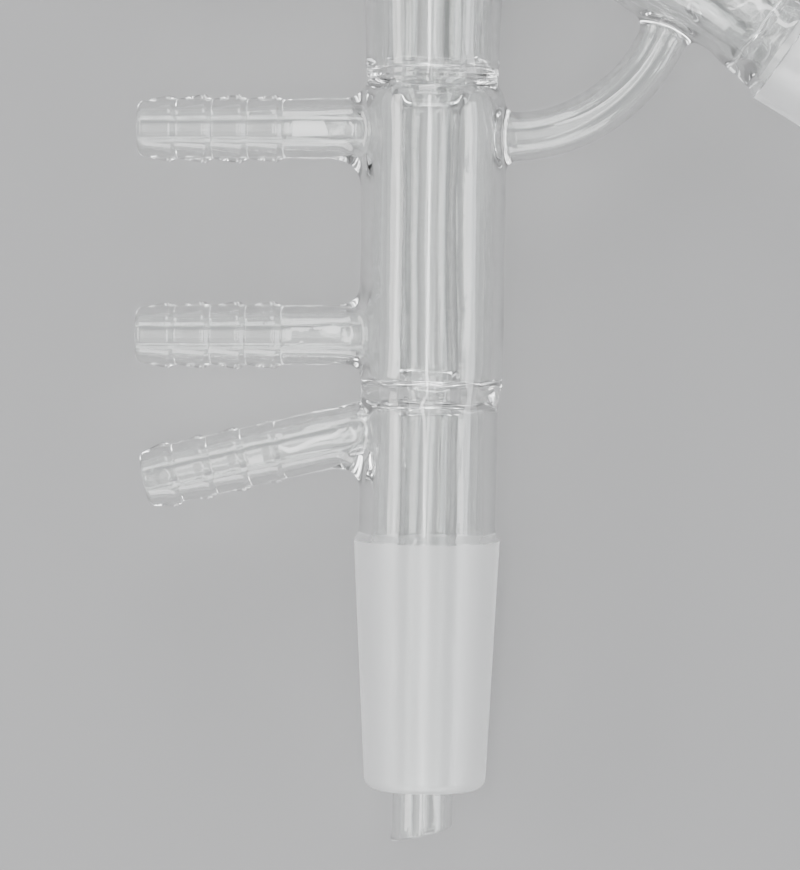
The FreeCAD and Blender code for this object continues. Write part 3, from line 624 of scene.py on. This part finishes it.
hollow = Shell()
FLARE = 5.0
flared = run([(0.12, 0.0), (3.7, 0.0, 0.5), (3.5, 1.0, 1.6), (2.95, 2.6, 3.0), (2.8, FLARE)], 0.8, 20)
COLUMNS = 48
around = np.arange(COLUMNS) * 2 * math.pi / COLUMNS
ends = []
for gap, inside, outside_, sense in ((over_jacket, 9.0, 18.0, 1), (over_column, BRACE_LENGTH - 8.0, BRACE_LENGTH - 22.0, -1)):
    level = where_it_meets(gap, 0.0, around, inside, outside_)
    rows_ = []
    for r, d in flared:
        fade = max(1 - d / FLARE, 0) ** 2
        rows_.append((r, level + sense * d + fade * (where_it_meets(gap, r, around, inside, outside_) - level)))
    ends.append((rows_, level[0] + sense * FLARE))
rings = [hollow.add(BRACE.place(r, h, around)) for r, h in ends[0][0]]
for h in np.linspace(ends[0][1], ends[1][1], 17):
    rings.append(hollow.add(BRACE.place(2.8, h, around)))
rings += [hollow.add(BRACE.place(r, h, around)) for r, h in ends[1][0][::-1]]
for ring, after in zip(rings[:-1], rings[1:]):
    hollow.between(ring, after)
for ring in (rings[0], rings[-1]):
    centre = hollow.add(hollow.where(ring).mean(0))
    hollow.quads(ring, np.roll(ring, -1), np.full(COLUMNS, centre[0]), np.full(COLUMNS, centre[0]))


# ------------------------------------------------ hand blown unevenness
def waves(points, length, seed, count=26):
    """A smooth, repeatable wandering between about -1 and 1."""
    rng = np.random.default_rng(seed)
    total = np.zeros(len(points))
    for _ in range(count):
        direction = unit(rng.normal(size=3)) * 2 * math.pi / (length * rng.uniform(0.75, 1.6))
        total += np.sin(points @ direction + rng.uniform(0, 2 * math.pi))
    return total / math.sqrt(count)


def wander(points):
    """Tubes that a glassblower lined up by eye: the jacket sits a little to
    the right of the mean axis, the inner tube a little to the left."""
    rho, h, _ = CONDENSER.read(points)
    outer = np.interp(h, [0, 12, 48, 60, 70, 76, 84, 118, 125, 133, 150, 160], [0.1, 0.1, 0.0, 0.12, 0.2, 0.3, 0.42, 0.42, 0.08, 0.05, 0.0, 0.0])
    inner = np.interp(h, [0, 20, 60, 74, 85, 100, 115, 125, 132, 150], [-0.2, -0.2, 0.1, 0.2, -0.2, -0.42, -0.35, 0.0, 0.1, 0.0])
    mix = np.clip((rho - 6.2) / 2.4, 0, 1)
    mix = mix * mix * (3 - 2 * mix)
    shift = inner * (1 - mix) + outer * mix
    far = np.clip((np.abs(points[:, 0] + 25.205) - 13) / 20.0, 0, 1)
    shift *= 1 - far * far * (3 - 2 * far)
    moved = points.copy()
    moved[:, 0] += np.where(h < 160, shift, 0.0)
    return moved


# axis, height, spread, size, and how far from the axis it reaches
SEALS = [
    (CONDENSER, 74.2, 2.2, 0.16, 13.0),
    (CONDENSER, 126.0, 1.9, 0.2, 13.0),
    (COLUMN, 47.0, 3.0, 0.16, 13.0),
    (COLUMN, 126.6, 2.5, 0.10, 13.0),
    (UPPER_HOSE, 14.5, 2.4, 0.09, 8.0),
    (LOWER_HOSE, 14.5, 2.4, 0.09, 8.0),
    (VACUUM_HOSE, 14.0, 2.6, 0.09, 8.0),
]


def mesh_from(shell, inward):
    points = np.concatenate(shell.points)
    faces = np.concatenate(shell.faces)
    kinds = np.concatenate(shell.kinds)
    mesh = bpy.data.meshes.new("glass")
    polygons = []
    for face in faces:
        face = list(dict.fromkeys(int(x) for x in face))
        polygons.append(face)
    mesh.from_pydata([tuple(p) for p in points], [], polygons)
    mesh.polygons.foreach_set("material_index", kinds.astype(np.int32))
    work = bmesh.new()
    work.from_mesh(mesh)
    bmesh.ops.recalc_face_normals(work, faces=work.faces)
    volume = work.calc_volume(signed=True)
    if (volume > 0) == inward:
        bmesh.ops.reverse_faces(work, faces=work.faces)
    open_edges = sum(1 for e in work.edges if len(e.link_faces) != 2)
    print("shell: vertices", len(points), "faces", len(polygons), "open edges", open_edges, "volume", round(volume, 1))
    work.to_mesh(mesh)
    work.free()
    return mesh


def rough_up(mesh, seed, amount):
    """Pushes the wall in and out a little along its normals."""
    n = len(mesh.vertices)
    co = np.zeros(n * 3)
    mesh.vertices.foreach_get("co", co)
    no = np.zeros(n * 3)
    mesh.vertices.foreach_get("normal", no)
    co, no = co.reshape(-1, 3), no.reshape(-1, 3)
    push = amount * waves(co, 11.0, seed)
    for axis, height, spread, size, limit in SEALS:
        rho, h, _ = axis.read(co)
        near = np.exp(-((h - height) / spread) ** 2) * np.clip((limit - rho) / 1.5, 0, 1)
        push += size * near * waves(co, 5.0, seed + 7)
    # ground joints are true to size
    for axis, low, high in ((CONDENSER, 10.0, 50.0), (COLUMN, 1.0, 41.5)):
        rho, h, _ = axis.read(co)
        cone = np.clip((rho - 9.6) / 0.4, 0, 1) * ((h > low - 2.0) & (h < high) & (rho < 12.2))
        push *= 1 - cone
    lowest = np.clip(co[:, 2] / 0.6, 0, 1) * np.clip((24.0 - co[:, 2]) / 0.6, 0, 1)
    push *= lowest
    co = co + no * push[:, None]
    co = wander(co)
    mesh.vertices.foreach_set("co", co.ravel())
    mesh.update()


shells = []
for number, (shell, inward) in enumerate(((head, False), (jacket, True), (hollow, True))):
    mesh = mesh_from(shell, inward)
    rough_up(mesh, 100, 0.035)
    shells.append(mesh)

merged = bmesh.new()
for mesh in shells:
    merged.from_mesh(mesh)
whole = bpy.data.meshes.new("head_glass")
merged.to_mesh(whole)
merged.free()
for mesh in shells:
    bpy.data.meshes.remove(mesh)
whole.transform(Matrix.Scale(0.001, 4))
whole.shade_smooth()
head_object = bpy.data.objects.new("head_glass", whole)
bpy.context.scene.collection.objects.link(head_object)
whole.calc_loop_triangles()
print("triangles", len(whole.loop_triangles))


# ----------------------------------------------------------------- materials
def glass_material(name, roughness, through, shade, bump_scale, bump_strength, bump_distance, tint):
    material = bpy.data.materials.new(name)
    material.use_nodes = True
    nodes, links = material.node_tree.nodes, material.node_tree.links
    nodes.clear()
    out = nodes.new("ShaderNodeOutputMaterial")
    mix = nodes.new("ShaderNodeMixShader")
    path = nodes.new("ShaderNodeLightPath")
    see_through = nodes.new("ShaderNodeBsdfTransparent")
    see_through.inputs["Color"].default_value = (shade, shade, shade, 1)
    shader = nodes.new("ShaderNodeBsdfPrincipled")
    shader.inputs["Base Color"].default_value = tint
    shader.inputs["Roughness"].default_value = roughness
    shader.inputs["IOR"].default_value = 1.473
    shader.inputs["Transmission Weight"].default_value = through
    # shadows are soft, and a ray caught in a thick root leaves it again
    caught = [path.outputs["Is Shadow Ray"]]
    for output, depth in (("Glossy Depth", 2.5), ("Ray Depth", 8.5)):
        deep = nodes.new("ShaderNodeMath")
        deep.operation = "GREATER_THAN"
        deep.inputs[1].default_value = depth
        links.new(path.outputs[output], deep.inputs[0])
        either = nodes.new("ShaderNodeMath")
        either.operation = "MAXIMUM"
        links.new(caught[-1], either.inputs[0])
        links.new(deep.outputs["Value"], either.inputs[1])
        caught.append(either.outputs["Value"])
    links.new(caught[-1], mix.inputs["Fac"])
    links.new(shader.outputs["BSDF"], mix.inputs[1])
    links.new(see_through.outputs["BSDF"], mix.inputs[2])
    links.new(mix.outputs["Shader"], out.inputs["Surface"])
    where = nodes.new("ShaderNodeTexCoord")
    noise = nodes.new("ShaderNodeTexNoise")
    noise.inputs["Scale"].default_value = bump_scale
    noise.inputs["Detail"].default_value = 3.0
    noise.inputs["Roughness"].default_value = 0.55
    bump = nodes.new("ShaderNodeBump")
    bump.inputs["Strength"].default_value = bump_strength
    bump.inputs["Distance"].default_value = bump_distance
    links.new(where.outputs["Object"], noise.inputs["Vector"])
    links.new(noise.outputs["Fac"], bump.inputs["Height"])
    links.new(bump.outputs["Normal"], shader.inputs["Normal"])
    return material, nodes, links, shader, noise


clear, *_ = glass_material("clear_glass", 0.0, 1.0, 0.87, 160.0, 0.25, 0.00005, (0.985, 0.995, 0.99, 1))
ground, nodes, links, shader, noise = glass_material("ground_glass", 0.33, 0.9, 0.66, 4200.0, 0.7, 0.00004, (0.95, 0.955, 0.96, 1))
whole.materials.append(clear)
whole.materials.append(ground)

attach(head_object, "root")
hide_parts("distillation_head")

# ------------------------------------------------------------- floor, lights
floor_mesh = bpy.data.meshes.new("floor")
floor_mesh.from_pydata([(-3, -3, 0), (3, -3, 0), (3, 3, 0), (-3, 3, 0)], [], [(0, 1, 2, 3)])
floor = bpy.data.objects.new("floor", floor_mesh)
bpy.context.scene.collection.objects.link(floor)
pale = bpy.data.materials.new("pale_floor")
pale.use_nodes = True
surface = pale.node_tree.nodes["Principled BSDF"]
surface.inputs["Base Color"].default_value = (0.18, 0.18, 0.182, 1)
surface.inputs["Roughness"].default_value = 0.85
surface.inputs["Specular IOR Level"].default_value = 0.2
floor_mesh.materials.append(pale)
floor.location.z = -0.00005


def area(name, place, target, along, width, depth, radiance, colour=(1, 1, 1)):
    """A soft box: its width runs along the given direction."""
    data = bpy.data.lights.new(name, "AREA")
    data.shape = "RECTANGLE"
    data.size, data.size_y = width, depth
    data.energy = radiance * math.pi * width * depth
    data.color = colour
    lamp = bpy.data.objects.new(name, data)
    bpy.context.scene.collection.objects.link(lamp)
    back = (Vector(place) - Vector(target)).normalized()
    across = Vector(along)
    across = (across - back * across.dot(back)).normalized()
    third = back.cross(across)
    lamp.matrix_world = Matrix(
        (
            (across.x, third.x, back.x, place[0]),
            (across.y, third.y, back.y, place[1]),
            (across.z, third.z, back.z, place[2]),
            (0, 0, 0, 1),
        )
    )
    return lamp


area("overhead", (-0.16, -0.18, 0.95), (-0.16, -0.18, 0.0), (1, 0, 0), 0.9, 1.0, 3.2)
area("overhead_strip", (-0.13, 0.0, 0.93), (-0.13, 0.0, 0.0), (1, 0, 0), 0.07, 1.1, 22.0)
area("side_left", (-0.85, 0.1, 0.42), (0, 0, 0), (0, 1, 0), 0.7, 0.25, 12.0, (1.0, 0.985, 0.96))
area("side_right", (0.85, -0.1, 0.42), (0, 0, 0), (0, 1, 0), 0.7, 0.25, 10.0, (0.97, 0.985, 1.0))
area("front", (0.0, -0.9, 0.42), (0, 0, 0), (1, 0, 0), 1.4, 0.3, 12.0)
area("back", (-0.05, 0.9, 0.5), (0, 0, 0), (1, 0, 0), 0.6, 0.3, 14.0)

# a bright ring low round the floor, calmer overhead
world = bpy.data.worlds.new("studio")
world.use_nodes = True
nodes, links = world.node_tree.nodes, world.node_tree.links
sky = nodes.new("ShaderNodeTexCoord")
split = nodes.new("ShaderNodeSeparateXYZ")
level = nodes.new("ShaderNodeMapRange")
level.interpolation_type = "SMOOTHSTEP"
level.inputs["From Min"].default_value = 0.05
level.inputs["From Max"].default_value = 0.75
level.inputs["To Min"].default_value = 2.8
level.inputs["To Max"].default_value = 0.6
links.new(sky.outputs["Generated"], split.inputs["Vector"])
links.new(split.outputs["Z"], level.inputs["Value"])
links.new(level.outputs["Result"], nodes["Background"].inputs["Strength"])
nodes["Background"].inputs["Color"].default_value = (0.89, 0.905, 0.92, 1)
bpy.context.scene.world = world

# -------------------------------------------------------------------- camera
PIXEL = 1 / 6.07
camera_data = bpy.data.cameras.new("camera")
camera_data.sensor_fit = "VERTICAL"
camera_data.sensor_height = 24.0
HEIGHT = 0.70
camera_data.lens = 24.0 * HEIGHT * 1000 / (870 * PIXEL)
camera = bpy.data.objects.new("camera", camera_data)
bpy.context.scene.collection.objects.link(camera)


def photo_point(px, py):
    """The place in the plane of the tube axes that a pixel shows."""
    dx, dy = px - 432.5, py - 30
    u = (dx + 0.0112 * dy) / 6.07
    v = (dy - 0.0112 * dx) / 6.07
    return Vector(((u - 25.205) / 1000, (83.86 - v - 51.96) / 1000, 0.012))


middle = photo_point(400, 435)
above = photo_point(432, 225)
eye = Vector((above.x, above.y, 0.012 + HEIGHT))
look = (middle - eye).normalized()
up = Vector((math.sin(-0.0112), math.cos(0.0112), 0.0))
right = look.cross(up).normalized()
up = right.cross(look).normalized()
camera.matrix_world = Matrix(
    (
        (right.x, up.x, -look.x, eye.x),
        (right.y, up.y, -look.y, eye.y),
        (right.z, up.z, -look.z, eye.z),
        (0, 0, 0, 1),
    )
)
camera_data.lens *= (middle - eye).length / HEIGHT
camera_data.clip_start = 0.01
bpy.context.scene.camera = camera
